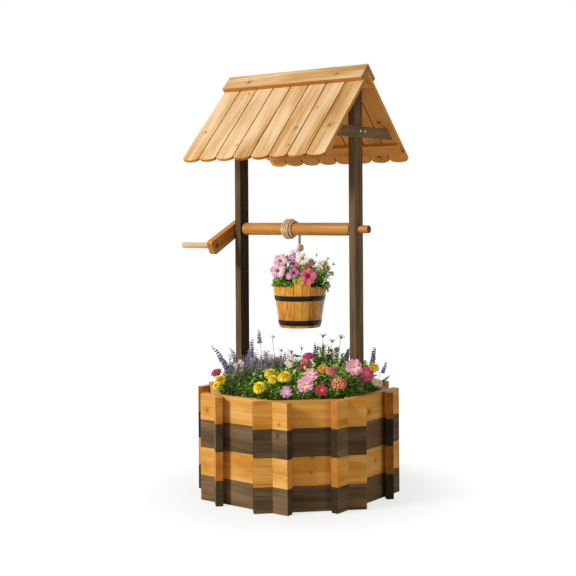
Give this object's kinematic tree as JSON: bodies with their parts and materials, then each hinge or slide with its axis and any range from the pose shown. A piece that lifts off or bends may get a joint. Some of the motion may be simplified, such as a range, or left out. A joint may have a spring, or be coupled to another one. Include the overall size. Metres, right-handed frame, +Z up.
{
  "type": "wishing well planter",
  "caption": "Wooden wishing well planter: octagonal planter of interlocking boards, two posts with a pitched plank roof, and a crank windlass with a planted bucket on a rope.",
  "frame": {"origin": "centre of the octagonal planter on the ground", "axes": "+Z up, X along the windlass with the crank at -X, -Y to the front"},
  "size_m": [0.8181, 0.7252, 1.5468],
  "materials": {
    "honey_board": "satin",
    "stained_board": "satin",
    "dark_timber": "satin",
    "roof_timber": "satin",
    "turned_timber": "satin",
    "bucket_timber": "satin",
    "hoop_metal": "satin",
    "rope": "matte",
    "soil": "matte",
    "planting": "matte",
    "bucket_planting": "matte"
  },
  "bodies": {
    "well": {"front_board_1": "stained_board", "front_board_2": "honey_board", "front_board_3": "stained_board", "front_board_4": "honey_board", "front_right_board_1": "stained_board", "front_right_board_2": "honey_board", "front_right_board_3": "stained_board", "front_right_board_4": "honey_board", "right_board_1": "stained_board", "right_board_2": "honey_board", "right_board_3": "stained_board", "right_board_4": "honey_board", "back_right_board_1": "stained_board", "back_right_board_2": "honey_board", "back_right_board_3": "stained_board", "back_right_board_4": "honey_board", "back_board_1": "stained_board", "back_board_2": "honey_board", "back_board_3": "stained_board", "back_board_4": "honey_board", "back_left_board_1": "stained_board", "back_left_board_2": "honey_board", "back_left_board_3": "stained_board", "back_left_board_4": "honey_board", "left_board_1": "stained_board", "left_board_2": "honey_board", "left_board_3": "stained_board", "left_board_4": "honey_board", "front_left_board_1": "stained_board", "front_left_board_2": "honey_board", "front_left_board_3": "stained_board", "front_left_board_4": "honey_board", "planter_floor": "honey_board", "planter_soil": "soil", "planter_plants": "planting", "left_post": "dark_timber", "right_post": "dark_timber", "left_post_packer": "honey_board", "right_post_packer": "honey_board", "left_collar_tie": "dark_timber", "right_collar_tie": "dark_timber", "front_roof_planks": "roof_timber", "back_roof_planks": "roof_timber", "front_ridge_board": "roof_timber", "back_ridge_board": "roof_timber", "front_eave_batten": "roof_timber", "back_eave_batten": "roof_timber", "ridge_beam": "roof_timber"},
    "windlass": {"roller": "turned_timber", "crank_arm": "turned_timber", "crank_handle": "turned_timber", "rope_winding": "rope"},
    "rope_fall": {"rope_fall": "rope"},
    "rope_knot": {"rope_knot": "rope"},
    "bail": {"rope_bail": "rope"},
    "bucket": {"bucket_staves": "bucket_timber", "bucket_bottom": "bucket_timber", "bucket_upper_hoop": "hoop_metal", "bucket_lower_hoop": "hoop_metal", "bucket_plants": "bucket_planting"}
  },
  "joints": [
    {"name": "windlass_turn", "type": "hinge", "parent": "well", "child": "windlass", "pos_m": [0, 0, 0.9622], "axis": [1, 0, 0], "range_deg": [-125, 30]},
    {"name": "bucket_swing", "type": "hinge", "parent": "well", "child": "rope_fall", "pos_m": [-0.008, 0.0276, 0.9622], "axis": [0, 1, 0], "range_deg": [-8, 8]},
    {"name": "bucket_lift", "type": "slide", "parent": "rope_fall", "child": "rope_knot", "axis": [0, 0, 1], "range_m": [-0.0605, 0.0147], "deforming": ["rope_fall"]},
    {"name": "bucket_twist", "type": "hinge", "parent": "rope_knot", "child": "bail", "pos_m": [-0.008, 0.0276, 0.878], "axis": [0, 0, 1], "range_deg": [-90, 90]},
    {"name": "bucket_tilt", "type": "hinge", "parent": "bail", "child": "bucket", "pos_m": [-0.008, 0.0276, 0.7675], "axis": [0.6769, -0.7361, 0], "range_deg": [-10, 10]}
  ],
  "couplings": [
    {"joint": "bucket_lift", "follows": "windlass_turn", "m_per_rad": 0.0276}
  ]
}
